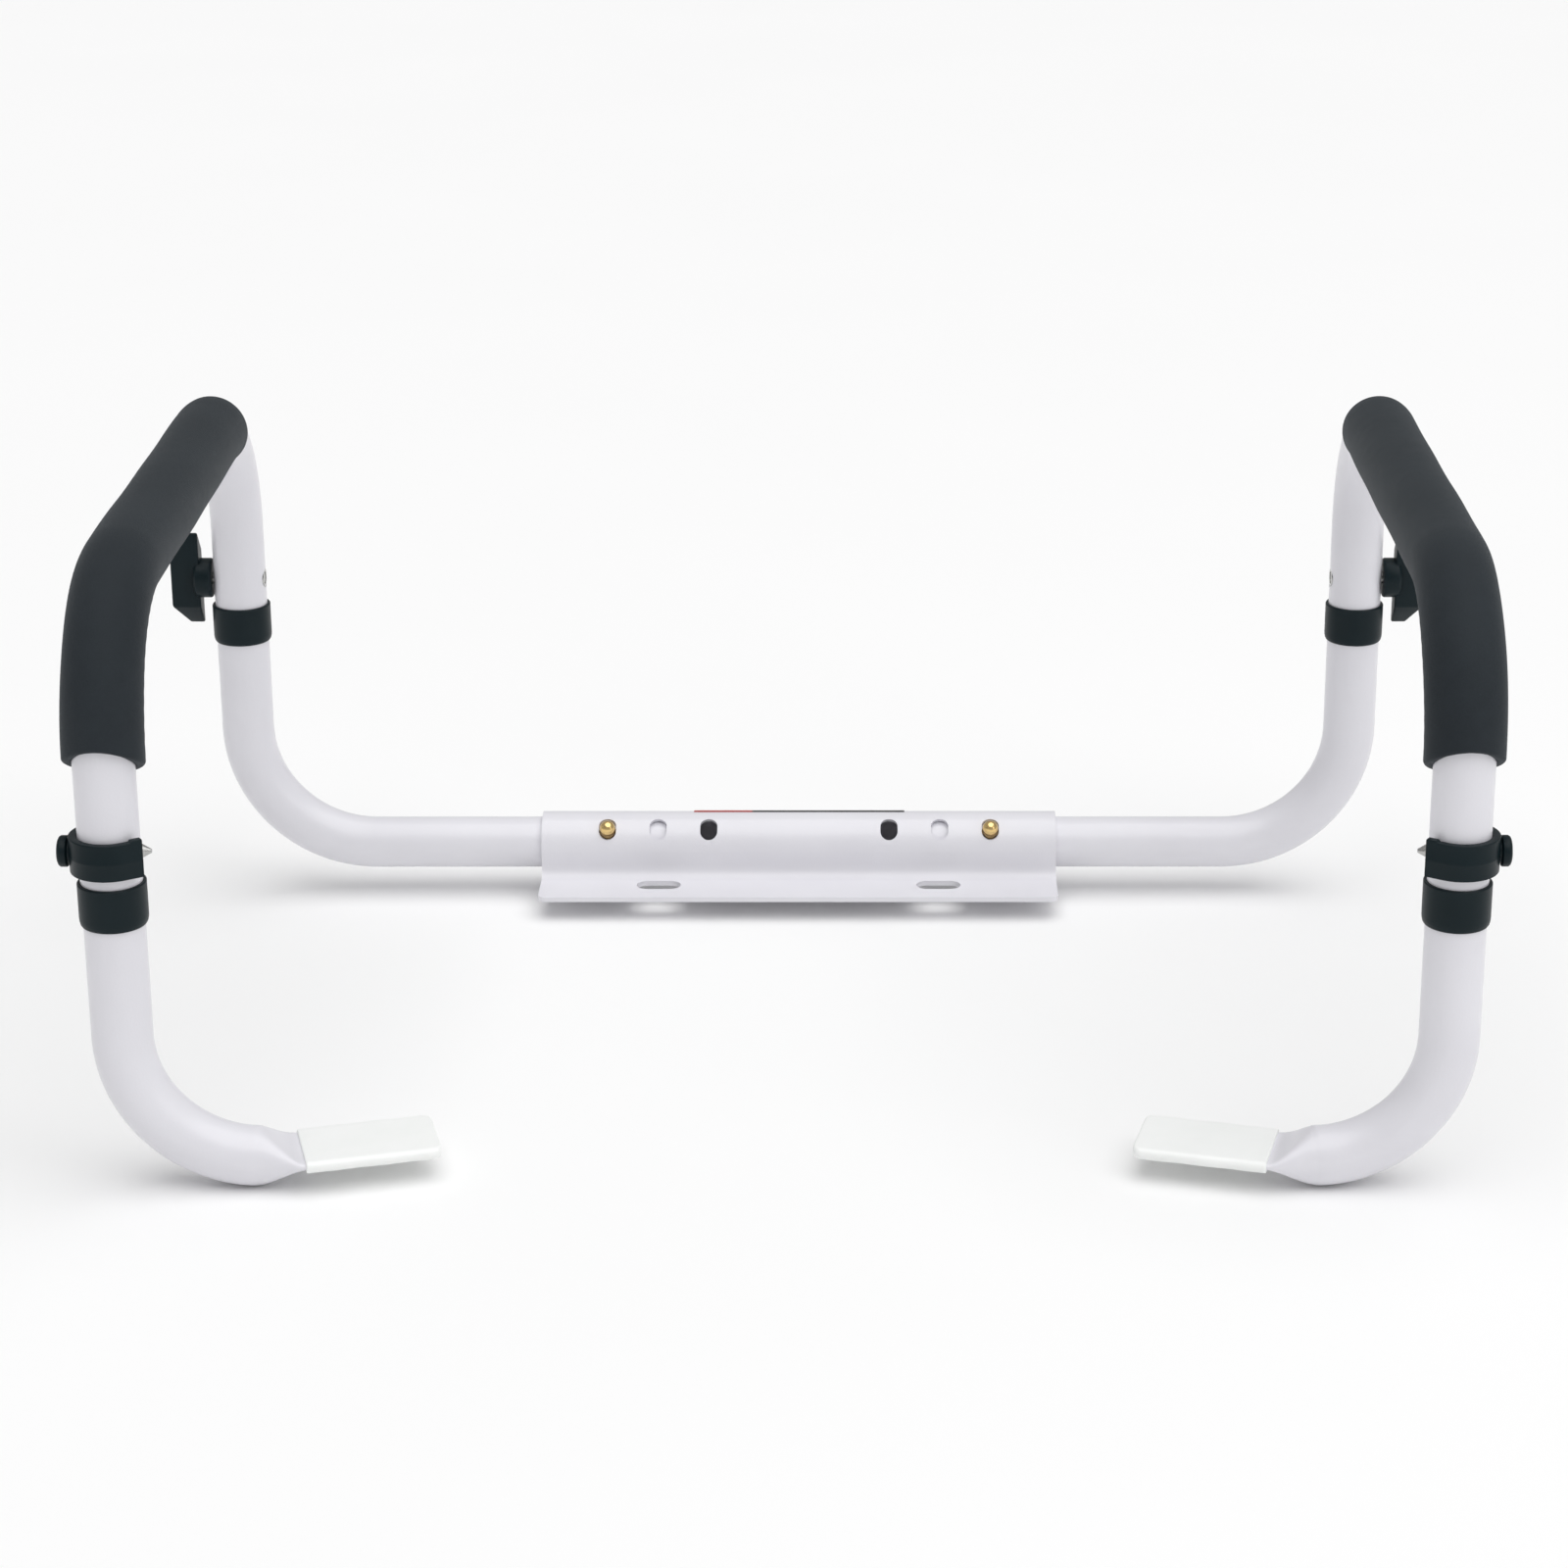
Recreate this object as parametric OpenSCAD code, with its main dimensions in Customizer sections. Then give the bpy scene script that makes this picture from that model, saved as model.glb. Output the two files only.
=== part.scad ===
// Toilet support frame: a bent bracket that bolts under the seat bolts, two arm tubes
// that slide in it, two padded handles on telescopic legs and two feet whose flat
// blades lie on the bowl's rim.
// +X is to the right seen from the front, +Y to the back, +Z up.
// The origin lies midway between the two slots, on the underside of the bracket's flange.

/* [General] */
// Which node to draw
// Smoothness of round faces
fn = 48; // [24:4:128]

/* [Tubes] */
// Outer diameter of the tubes
tube_d = 25.4; // [22:0.1:32]
// Wall thickness of the tubes
tube_wall = 1.2; // [0.8:0.1:2.5]
// Outer diameter of the reduced upper end of the lower tubes
spigot_d = 22.2; // [18:0.1:28]
// Distance between the leg axes, left to right
leg_span = 550; // [480:1:620]
// Distance between the leg axes, front to back
leg_depth = 340; // [250:1:460]
// Centreline radius of the rear arm's elbow
rear_bend_r = 62; // [45:1:90]
// Centreline radius of the front foot's elbow
foot_bend_r = 55; // [45:1:90]
// Centreline radius of the handle's two elbows
handle_bend_r = 64; // [45:1:90]
// Height of the handle's top tube over the rim plane, axis
handle_z = 243; // [200:1:320]

/* [Bracket] */
// Length of the bracket
bracket_l = 258; // [200:1:320]
// Sheet thickness of the bracket
sheet_t = 2.5; // [1.5:0.1:4]
// Gap between the arm tube and the bracket's tunnel
tunnel_gap = 0.3; // [0.2:0.05:0.6]
// Distance from the slots' centre line back to the arm tube's axis
arm_y = 27; // [20:0.5:45]
// Distance from the slots' centre line to the flange's front edge
flange_front = 17; // [12:0.5:30]
// Inner radius of the bend between flange and tunnel
flange_bend_r = 6; // [3:0.5:10]
// Distance between the two slots' centres
slot_spacing = 139.7; // [120:0.1:160]
// Length of a slot, end to end
slot_l = 22; // [12:0.5:40]
// Width of a slot
slot_w = 11; // [8:0.5:14]
// Distance of the outermost button hole from the middle
hole_x = 96; // [80:0.5:110]
// Pitch of the button holes
hole_pitch = 25.4; // [20:0.1:32]
// Width of a button hole along the bracket
hole_w = 8.6; // [7:0.1:11]
// Height of a button hole round the tunnel
hole_h = 11.6; // [8:0.1:14]
// Angle of the button holes over the horizontal, facing the front
hole_angle = 45; // [0:1:70]

/* [Collars and pads] */
// Outer diameter of the plastic collars
collar_d = 28.3; // [27:0.1:34]
// Height of the plastic collars
collar_h = 18.5; // [12:0.5:30]
// Height of the rear collar's top edge
rear_collar_z = 141.5; // [100:0.5:180]
// Height of the front collar's top edge
front_collar_z = 126.5; // [90:0.5:180]
// Outer diameter of the foam grip
foam_d = 33.6; // [30:0.1:42]
// Height of the foam's lower end on the front leg
foam_front_z = 176.5; // [150:0.5:220]
// How far round the handle's rear elbow the foam goes, in degrees
foam_arc = 12; // [1:1:90]

/* [Knob and clip] */
// Height of the knob's axis over the rear collar's top edge
knob_rise = 13; // [11:0.5:30]
// Hub diameter of the knob
knob_hub_d = 19.5; // [14:0.5:26]
// Length of the knob's hub
knob_hub_l = 6; // [4:0.5:14]
// Length of the knob along the bolt
knob_l = 20; // [14:0.5:26]
// Reach of the knob's wings from the bolt's axis
wing_r = 24; // [16:0.5:32]
// Thickness of the knob's wings
wing_t = 11; // [6:0.5:16]
// Distance from the bolt's axis at which a wing starts to slope and to narrow
wing_slope = 13.5; // [8:0.5:20]
// Diameter of the knob's bolt
bolt_d = 6; // [5:0.1:8]
// Height of the clip's band
clip_h = 15.5; // [10:0.5:24]
// Gap between the clip and the front collar
clip_gap = 5; // [1:0.5:20]
// Thickness of the clip's band
clip_t = 3.5; // [2:0.1:5]
// Angle that the clip's round part goes round each side of the leg
clip_arc = 122; // [95:1:140]
// Length of the straight end of the clip's front arm
clip_arm = 8.2; // [2:0.1:12]
// Diameter of the lock pin
pin_d = 6; // [4:0.1:8]
// Diameter of the clip's round head
clip_head_d = 13; // [9:0.5:18]

/* [Feet] */
// Width of the flattened blade
blade_w = 35; // [28:0.5:42]
// Thickness of the flattened blade
blade_t = 2.6; // [2:0.1:5]
// Length of the blade from the end of the round tube
blade_l = 72; // [50:1:120]
// Length of the blade's vinyl sleeve
sleeve_l = 55; // [40:1:90]
// Wall thickness of the vinyl sleeve
sleeve_t = 1.4; // [1:0.1:3]
// Angle of the blades in plan, turned to the back
blade_turn = 15; // [0:1:30]
// Corner radius of the blade's end
blade_corner = 3; // [1:0.5:10]

/* [Travel] */
// Travel of each arm inwards, out of the longest position
arm_travel = 50.8; // [0:0.1:60]
// Upward travel of each handle
height_travel = 22; // [0:0.1:40]

/* [Hidden] */
r_out = tube_d / 2;
r_in = r_out - tube_wall;
r_spig = spigot_d / 2;
r_spig_in = r_spig - tube_wall;
leg_x = leg_span / 2;
front_y = arm_y - leg_depth;
tun_in = r_out + tunnel_gap;
tun_out = tun_in + sheet_t;
arm_z = tun_out;
foot_z = sleeve_t + blade_t / 2;
arm_end_x = arm_travel + 7;
rear_tube_end_z = rear_collar_z - collar_h + 7;
front_tube_end_z = front_collar_z - collar_h + 7;
spigot_top_z = handle_z - handle_bend_r + 4;
knob_z = rear_collar_z + knob_rise;
clip_z = front_collar_z + clip_gap + clip_h / 2;
bolt_hole_r = bolt_d / 2 + 0.3;
pin_hole_r = pin_d / 2 + 0.3;
insert_r = 4.8;
button_r = 3.9;
clip_in = r_out + 0.15;
clip_out = clip_in + clip_t;
cut = 200;

powder_white = [0.87, 0.86, 0.88];
dark_plastic = [0.13, 0.16, 0.18];
foam_grey = [0.24, 0.24, 0.25];
brass = [0.80, 0.64, 0.32];
steel = [0.66, 0.67, 0.68];
vinyl_white = [0.95, 0.95, 0.94];
label_dark = [0.10, 0.10, 0.11];

// Puts a right-hand piece on the left, or leaves it on the right
module side(s) {
    if (s < 0) mirror([1, 0, 0]) children();
    else children();
}

// Straight tube along +Z
module tube(l, ro, ri) {
    linear_extrude(l) difference() {
        circle(r = ro, $fn = fn);
        circle(r = ri, $fn = fn);
    }
}

// Tube elbow in the XZ plane, centred on the origin: from straight below it towards its +X side
module tube_elbow(bend_r, ro, ri, arc = 90) {
    rotate([90, 0, 0]) rotate([0, 0, -90]) rotate_extrude(angle = arc, $fn = fn * 2)
        translate([bend_r, 0]) difference() {
            circle(r = ro, $fn = fn);
            circle(r = ri, $fn = fn);
        }
}

// Swaged upper end of a lower tube from z0 up: full size, short cone, then the spigot
module leg_end(z0, collar_bottom) {
    z1 = collar_bottom + 1.2;
    rotate_extrude($fn = fn * 2) polygon([
        [r_in, z0], [r_out, z0], [r_out, z1], [r_spig, z1 + 3], [r_spig, spigot_top_z],
        [r_spig_in, spigot_top_z], [r_spig_in, z1 + 2], [r_in, z1 - 1]]);
}

// Upright slot through a spigot, for the bolt or pin and the leg's upward travel
module spigot_slot(r, z) {
    for (dz = [0, height_travel])
        translate([-30, 0, z + dz]) rotate([0, 90, 0]) cylinder(r = r, h = 60, $fn = 48);
    translate([-30, -r, z]) cube([60, 2 * r, height_travel]);
}

module mounting_bracket() {
    color(powder_white)
    difference() {
        union() {
            translate([-bracket_l / 2, 0, 0]) rotate([90, 0, 90]) linear_extrude(bracket_l) {
                translate([arm_y, arm_z]) circle(r = tun_out, $fn = fn * 2);
                translate([arm_y - tun_out, sheet_t + flange_bend_r])
                    square([sheet_t, arm_z - sheet_t - flange_bend_r]);
                intersection() {
                    translate([arm_y - tun_out - flange_bend_r, sheet_t + flange_bend_r])
                        difference() {
                            circle(r = flange_bend_r + sheet_t, $fn = fn);
                            circle(r = flange_bend_r, $fn = fn);
                        }
                    translate([arm_y - tun_out - flange_bend_r, 0])
                        square([flange_bend_r + sheet_t, sheet_t + flange_bend_r]);
                }
            }
            flange();
        }
        translate([-cut, arm_y, arm_z]) rotate([0, 90, 0]) cylinder(r = tun_in, h = 2 * cut, $fn = fn * 2);
        for (s = [-1, 1], k = [0 : 2]) button_hole(s * (hole_x - k * hole_pitch));
        for (s = [-1, 1]) translate([s * slot_spacing / 2, 0, -1]) {
            for (e = [-1, 1]) translate([e * (slot_l - slot_w) / 2, 0, 0])
                cylinder(d = slot_w, h = sheet_t + 2, $fn = fn);
            translate([-(slot_l - slot_w) / 2, -slot_w / 2, 0])
                cube([slot_l - slot_w, slot_w, sheet_t + 2]);
        }
    }
}

// Flange plate with rounded front corners
module flange() {
    y1 = arm_y - tun_out - flange_bend_r;
    c = 4;
    linear_extrude(sheet_t) {
        translate([-bracket_l / 2, -flange_front + c]) square([bracket_l, y1 + flange_front - c]);
        translate([-bracket_l / 2 + c, -flange_front]) square([bracket_l - 2 * c, c]);
        for (s = [-1, 1]) translate([s * (bracket_l / 2 - c), -flange_front + c]) circle(r = c, $fn = 48);
    }
}

// Oval hole through the front upper wall of the tunnel
module button_hole(x) {
    translate([x, arm_y, arm_z]) rotate([90 - hole_angle, 0, 0]) {
        for (e = [-1, 1]) translate([0, e * (hole_h - hole_w) / 2, 0])
            cylinder(d = hole_w, h = cut / 4, $fn = 48);
        translate([-hole_w / 2, -(hole_h - hole_w) / 2, 0])
            cube([hole_w, hole_h - hole_w, cut / 4]);
    }
}

module bracket_label() {
    color(label_dark)
    intersection() {
        translate([-53, arm_y, arm_z]) rotate([0, 90, 0]) difference() {
            cylinder(r = tun_out + 0.3, h = 106, $fn = fn * 2);
            translate([0, 0, -1]) cylinder(r = tun_out, h = 108, $fn = fn * 2);
        }
        translate([-60, arm_y + 1, arm_z]) cube([120, 12, 30]);
    }
}

module rear_arm_tube(s) {
    run_end = leg_x - rear_bend_r;
    color(powder_white)
    side(s) {
        difference() {
            translate([arm_end_x, arm_y, arm_z]) rotate([0, 90, 0]) tube(run_end - arm_end_x, r_out, r_in);
            translate([hole_x, arm_y, arm_z]) rotate([90 - hole_angle, 0, 0])
                cylinder(r = button_r + 0.3, h = 30, $fn = 48);
        }
        translate([run_end, arm_y, arm_z + rear_bend_r]) tube_elbow(rear_bend_r, r_out, r_in);
        translate([leg_x, arm_y, 0]) difference() {
            leg_end(arm_z + rear_bend_r, rear_collar_z - collar_h);
            spigot_slot(bolt_hole_r, knob_z);
        }
    }
}

// Round-headed button with a flange that stops it inside the tube
module width_button(s) {
    color(brass)
    side(s) translate([hole_x, arm_y, arm_z]) rotate([90 - hole_angle, 0, 0]) {
        translate([0, 0, r_in - 2.9]) cylinder(r = button_r + 1.3, h = 1.2, $fn = 48);
        translate([0, 0, r_in - 2]) cylinder(r = button_r, h = tun_out + 0.4 - r_in + 2, $fn = 48);
        intersection() {
            translate([0, 0, tun_out + 0.4]) sphere(r = button_r, $fn = 48);
            translate([-5, -5, tun_out + 0.4]) cube([10, 10, 10]);
        }
    }
}

// Bent leaf that presses the button outwards
module button_spring(s) {
    w = 7;
    color(steel)
    side(s) translate([hole_x, arm_y, arm_z]) rotate([90 - hole_angle, 0, 0]) {
        translate([-w, -w / 2, -9.4]) cube([39, w, 0.8]);
        translate([32, w / 2, -5.8]) rotate([90, 90, 0]) rotate_extrude(angle = 90, $fn = 48)
            translate([2.8, 0]) square([0.8, w]);
    }
}

// The handle's two elbows and its top tube, in the plane of the legs
module handle_arch(ro, ri, rear_arc = 90) {
    h0 = handle_z - handle_bend_r;
    translate([0, front_y + handle_bend_r, h0]) rotate([0, 0, -90]) rotate([180, 0, 0])
        tube_elbow(handle_bend_r, ro, ri);
    translate([0, arm_y - handle_bend_r, h0]) rotate([0, 0, 90]) rotate([180, 0, 0])
        tube_elbow(handle_bend_r, ro, ri, rear_arc);
    translate([0, front_y + handle_bend_r, handle_z]) rotate([-90, 0, 0])
        tube(leg_depth - 2 * handle_bend_r, ro, ri);
}

module handle_tube(s) {
    h0 = handle_z - handle_bend_r;
    color(powder_white)
    side(s) translate([leg_x, 0, 0]) {
        handle_arch(r_out, r_in);
        difference() {
            translate([0, arm_y, rear_tube_end_z]) tube(h0 - rear_tube_end_z, r_out, r_in);
            translate([0, arm_y, knob_z]) rotate([0, 90, 0]) cylinder(r = bolt_hole_r, h = 40, $fn = 48);
            translate([0, arm_y, knob_z]) rotate([0, -90, 0]) cylinder(r = insert_r, h = 40, $fn = 48);
        }
        difference() {
            translate([0, front_y, front_tube_end_z]) tube(h0 - front_tube_end_z, r_out, r_in);
            translate([-20, front_y, clip_z]) rotate([0, 90, 0]) cylinder(r = pin_hole_r, h = 40, $fn = 48);
        }
    }
}

module foam_grip(s) {
    h0 = handle_z - handle_bend_r;
    r = foam_d / 2;
    color(foam_grey)
    side(s) translate([leg_x, 0, 0]) {
        handle_arch(r, r_out, foam_arc);
        translate([0, front_y, foam_front_z]) tube(h0 - foam_front_z, r, r_out);
    }
}

// Plastic bushing: the upper tube's end stands in its top, the lower tube runs in its bottom
module collar(s, y, z_top) {
    r = collar_d / 2;
    color(dark_plastic)
    side(s) translate([leg_x, y, z_top - collar_h]) rotate_extrude($fn = fn * 2) polygon([
        [r_out + 0.3, 0], [r - 0.85, 0], [r - 0.4, 0.7], [r - 0.1, 2], [r, 3.2],
        [r, collar_h - 0.5], [r - 0.4, collar_h], [r_out + 0.05, collar_h], [r_out + 0.05, 7],
        [r_spig + 0.3, 7], [r_spig + 0.3, 4.4], [r_out + 0.3, 4.4]]);
}

// Threaded insert in the inner wall, nearly flush with the tube's outside
module bolt_insert(s) {
    color(steel)
    side(s) translate([leg_x - r_out + 0.3, arm_y, knob_z]) rotate([0, 90, 0])
        tube(1.1, insert_r, bolt_d / 2 + 0.05);
}

// Knob with a round hub and two wings, each sloped on one side of its end
module knob(s) {
    y = wing_t / 2 + 1;
    k = (wing_r - wing_slope) / (wing_t - 2);
    color(dark_plastic)
    side(s) translate([leg_x + r_out + 0.4, arm_y, knob_z]) difference() {
        union() {
            rotate([0, 90, 0]) cylinder(d = knob_hub_d, h = knob_hub_l + 3, $fn = fn);
            translate([0, wing_t / 2, 0]) rotate([90, 0, 0]) linear_extrude(wing_t) wing_outline();
        }
        translate([-1, 0, 0]) rotate([0, 90, 0]) cylinder(d = bolt_d, h = 13, $fn = 48);
        for (a = [0, 180]) rotate([a, 0, 0]) rotate([90, 0, 90]) linear_extrude(2 * knob_l)
            polygon([[-y, -wing_slope + k], [y, -wing_r - 3 * k], [y, -3 * wing_r], [-y, -3 * wing_r]]);
    }
}

// Outline of the two wings seen along the frame's depth, from the hub outwards
module wing_outline() {
    x1 = knob_hub_l + (knob_l - knob_hub_l) / 2;
    polygon([[knob_hub_l, -wing_r], [x1, -wing_r], [knob_l, -wing_slope],
             [knob_l, wing_slope], [x1, wing_r], [knob_hub_l, wing_r]]);
}

// Bolt from inside the knob through both walls, its end flush in the insert
module knob_bolt(s) {
    x0 = leg_x - r_out + 0.6;
    color(steel)
    side(s) translate([x0, arm_y, knob_z]) rotate([0, 90, 0]) {
        translate([0, 0, 0.6]) cylinder(d = bolt_d, h = leg_x + r_out + 0.4 + 11.5 - x0 - 0.6, $fn = 48);
        cylinder(d1 = bolt_d - 1.2, d2 = bolt_d, h = 0.6, $fn = 48);
    }
}

// Springy open band round the front leg: a round part, a front arm with a straight end and
// a raised lip, an opening towards the inside, and a round head outside
module lock_clip(s) {
    color(dark_plastic)
    side(s) translate([leg_x, front_y, clip_z]) difference() {
        union() {
            rotate([0, 0, -clip_arc]) rotate_extrude(angle = 2 * clip_arc, $fn = fn * 2)
                translate([clip_in, -clip_h / 2]) square([clip_t, clip_h]);
            rotate([0, 0, -clip_arc]) {
                translate([clip_in, -clip_arm, -clip_h / 2]) cube([clip_t, clip_arm + 0.5, clip_h]);
                translate([clip_in, -clip_arm, clip_h / 2 - 1]) cube([clip_t, 4.5, 1.8]);
            }
            translate([clip_out - 1, 0, 0]) rotate([0, 90, 0]) {
                cylinder(d = clip_head_d, h = 4.2, $fn = 64);
                translate([0, 0, 4.2]) cylinder(d1 = clip_head_d, d2 = clip_head_d - 2.4, h = 1.2, $fn = 64);
            }
        }
        rotate([0, 90, 0]) cylinder(d = pin_d, h = clip_out + 2, $fn = 48);
    }
}

// Pin of the clip: through both walls of both tubes, with a conical tip on the inside
module lock_pin(s) {
    color(steel)
    side(s) translate([leg_x, front_y, clip_z]) rotate([0, 90, 0]) {
        translate([0, 0, -r_out - 0.5]) cylinder(d = pin_d, h = r_out + 0.5 + clip_out + 2, $fn = 48);
        translate([0, 0, -r_out - 4.5]) cylinder(d1 = 1.6, d2 = pin_d, h = 4, $fn = 48);
    }
}

// Lower front tube: upright leg, elbow inwards, then the tube pressed flat into a blade
module front_foot_tube(s) {
    color(powder_white)
    side(s) translate([leg_x, front_y, 0]) {
        difference() {
            leg_end(foot_z + foot_bend_r, front_collar_z - collar_h);
            spigot_slot(pin_hole_r, clip_z);
        }
        translate([-foot_bend_r, 0, foot_z + foot_bend_r]) tube_elbow(foot_bend_r, r_out, r_in);
        translate([-foot_bend_r, 0, foot_z]) rotate([0, 0, -blade_turn]) flat_end();
    }
}

// Flattening of the round tube and the blade with rounded corners, running to -X
module flat_end() {
    x1 = blade_l - sleeve_l;
    translate([-1.5, 0, 0]) rotate([0, 90, 0]) cylinder(r = r_out, h = 1.5, $fn = fn);
    hull() {
        translate([-1.4, 0, 0]) rotate([0, 90, 0]) cylinder(r = r_out - 0.06, h = 0.5, $fn = 32);
        translate([-x1, -blade_w / 2 + 0.05, -blade_t / 2 + 0.05]) cube([0.5, blade_w - 0.1, blade_t - 0.1]);
    }
    rounded_slab(blade_l, blade_w, blade_t, blade_corner, sleeve_l + 0.4);
}

// Vinyl sleeve closed over the blade's end
module blade_sleeve(s) {
    e = sleeve_t;
    w = blade_w + 2 * e;
    color(vinyl_white)
    side(s) translate([leg_x - foot_bend_r, front_y, foot_z]) rotate([0, 0, -blade_turn])
    difference() {
        rounded_slab(blade_l + e, w, blade_t + 2 * e, blade_corner + e, sleeve_l + e);
        rounded_slab(blade_l, blade_w, blade_t, blade_corner, sleeve_l + 1);
    }
}

// Slab of length l that ends at -x_end with two rounded corners
module rounded_slab(x_end, w, t, r, l) {
    translate([-x_end + r, -w / 2, -t / 2]) cube([l - r, w, t]);
    translate([-x_end, -w / 2 + r, -t / 2]) cube([r + 1, w - 2 * r, t]);
    for (e = [-1, 1]) translate([-x_end + r, e * (w / 2 - r), -t / 2]) cylinder(r = r, h = t, $fn = 48);
}

mounting_bracket();
bracket_label();
rear_arm_tube(-1);  // left_rear_arm_tube
width_button(-1);  // left_width_button
button_spring(-1);  // left_button_spring
handle_tube(-1);  // left_handle_tube
foam_grip(-1);  // left_foam_grip
collar(-1, arm_y, rear_collar_z);  // left_rear_collar
collar(-1, front_y, front_collar_z);  // left_front_collar
bolt_insert(-1);  // left_bolt_insert
knob(-1);  // left_knob
knob_bolt(-1);  // left_knob_bolt
lock_clip(-1);  // left_lock_clip
lock_pin(-1);  // left_lock_pin
front_foot_tube(-1);  // left_front_foot_tube
blade_sleeve(-1);  // left_blade_sleeve
rear_arm_tube(1);  // right_rear_arm_tube
width_button(1);  // right_width_button
button_spring(1);  // right_button_spring
handle_tube(1);  // right_handle_tube
foam_grip(1);  // right_foam_grip
collar(1, arm_y, rear_collar_z);  // right_rear_collar
collar(1, front_y, front_collar_z);  // right_front_collar
bolt_insert(1);  // right_bolt_insert
knob(1);  // right_knob
knob_bolt(1);  // right_knob_bolt
lock_clip(1);  // right_lock_clip
lock_pin(1);  // right_lock_pin
front_foot_tube(1);  // right_front_foot_tube
blade_sleeve(1);  // right_blade_sleeve
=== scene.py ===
import bpy, bmesh, math
import numpy as np
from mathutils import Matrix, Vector


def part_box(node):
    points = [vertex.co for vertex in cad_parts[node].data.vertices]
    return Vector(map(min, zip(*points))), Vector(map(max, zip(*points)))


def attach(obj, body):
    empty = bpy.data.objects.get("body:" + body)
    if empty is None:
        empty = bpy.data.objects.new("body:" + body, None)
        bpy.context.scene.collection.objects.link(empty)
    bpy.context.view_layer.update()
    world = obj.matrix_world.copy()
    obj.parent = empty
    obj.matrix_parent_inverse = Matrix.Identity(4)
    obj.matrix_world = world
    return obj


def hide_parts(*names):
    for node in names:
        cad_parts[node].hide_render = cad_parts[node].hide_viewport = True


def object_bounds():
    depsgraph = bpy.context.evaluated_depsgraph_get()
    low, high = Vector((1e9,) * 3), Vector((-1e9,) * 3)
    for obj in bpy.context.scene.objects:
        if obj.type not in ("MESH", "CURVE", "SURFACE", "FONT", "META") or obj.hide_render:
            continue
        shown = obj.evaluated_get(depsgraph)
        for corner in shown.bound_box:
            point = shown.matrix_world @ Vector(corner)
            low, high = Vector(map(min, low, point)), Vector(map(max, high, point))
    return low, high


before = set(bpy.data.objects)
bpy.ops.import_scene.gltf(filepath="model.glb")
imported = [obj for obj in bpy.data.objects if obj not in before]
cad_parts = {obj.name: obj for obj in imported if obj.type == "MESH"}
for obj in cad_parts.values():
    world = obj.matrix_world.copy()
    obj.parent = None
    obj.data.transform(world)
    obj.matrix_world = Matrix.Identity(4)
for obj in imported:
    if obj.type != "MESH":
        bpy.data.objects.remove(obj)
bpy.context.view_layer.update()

MM = 0.001
SIDES = (("left", -1), ("right", 1))   # name and sign along X


# ---------------------------------------------------------------- materials
def material(name):
    m = bpy.data.materials.new(name)
    m.use_nodes = True
    nt = m.node_tree
    bsdf = nt.nodes["Principled BSDF"]
    return m, nt, bsdf


def coords(nt, scale=(1.0, 1.0, 1.0)):
    """Object coordinates in metres, stretched if asked."""
    tc = nt.nodes.new("ShaderNodeTexCoord")
    mp = nt.nodes.new("ShaderNodeMapping")
    mp.inputs["Scale"].default_value = scale
    nt.links.new(tc.outputs["Object"], mp.inputs["Vector"])
    return mp.outputs["Vector"]


def noise(nt, vec, scale, detail=4.0, rough=0.5):
    n = nt.nodes.new("ShaderNodeTexNoise")
    n.inputs["Scale"].default_value = scale
    n.inputs["Detail"].default_value = detail
    n.inputs["Roughness"].default_value = rough
    nt.links.new(vec, n.inputs["Vector"])
    return n.outputs["Fac"]


def voronoi(nt, vec, scale):
    n = nt.nodes.new("ShaderNodeTexVoronoi")
    n.inputs["Scale"].default_value = scale
    nt.links.new(vec, n.inputs["Vector"])
    return n.outputs["Distance"]


def ramp(nt, fac, stops):
    """Colour ramp through (position, colour) stops."""
    r = nt.nodes.new("ShaderNodeValToRGB")
    el = r.color_ramp.elements
    el[0].position, el[0].color = stops[0][0], (*stops[0][1], 1)
    el[1].position, el[1].color = stops[-1][0], (*stops[-1][1], 1)
    for p, c in stops[1:-1]:
        e = el.new(p)
        e.color = (*c, 1)
    nt.links.new(fac, r.inputs["Fac"])
    return r.outputs["Color"]


def to_range(nt, fac, lo, hi):
    """Maps 0..1 to lo..hi."""
    n = nt.nodes.new("ShaderNodeMapRange")
    n.inputs["To Min"].default_value = lo
    n.inputs["To Max"].default_value = hi
    nt.links.new(fac, n.inputs["Value"])
    return n.outputs["Result"]


def add(nt, a, b, op="ADD"):
    """Sum, or another operation, of two values; b may be a number."""
    n = nt.nodes.new("ShaderNodeMath")
    n.operation = op
    nt.links.new(a, n.inputs[0])
    if isinstance(b, (int, float)):
        n.inputs[1].default_value = b
    else:
        nt.links.new(b, n.inputs[1])
    return n.outputs[0]


def bump(nt, bsdf, height, distance, strength=1.0):
    b = nt.nodes.new("ShaderNodeBump")
    b.inputs["Distance"].default_value = distance
    b.inputs["Strength"].default_value = strength
    nt.links.new(height, b.inputs["Height"])
    nt.links.new(b.outputs["Normal"], bsdf.inputs["Normal"])


def powder_coat():
    m, nt, p = material("white_powder_coat_paint")
    v = coords(nt)
    big = noise(nt, v, 22, 3)
    fine = noise(nt, v, 900, 2, 0.55)
    speck = noise(nt, v, 2600, 1)
    nt.links.new(ramp(nt, big, [(0.3, (0.754, 0.745, 0.790)), (0.7, (0.784, 0.777, 0.820))]),
                 p.inputs["Base Color"])
    nt.links.new(to_range(nt, add(nt, big, fine, "MULTIPLY"), 0.27, 0.40), p.inputs["Roughness"])
    p.inputs["Specular IOR Level"].default_value = 0.45
    p.inputs["Coat Weight"].default_value = 0.22
    p.inputs["Coat Roughness"].default_value = 0.16
    bump(nt, p, add(nt, fine, add(nt, speck, 0.25, "MULTIPLY")), 0.00009, 0.55)
    return m


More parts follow.
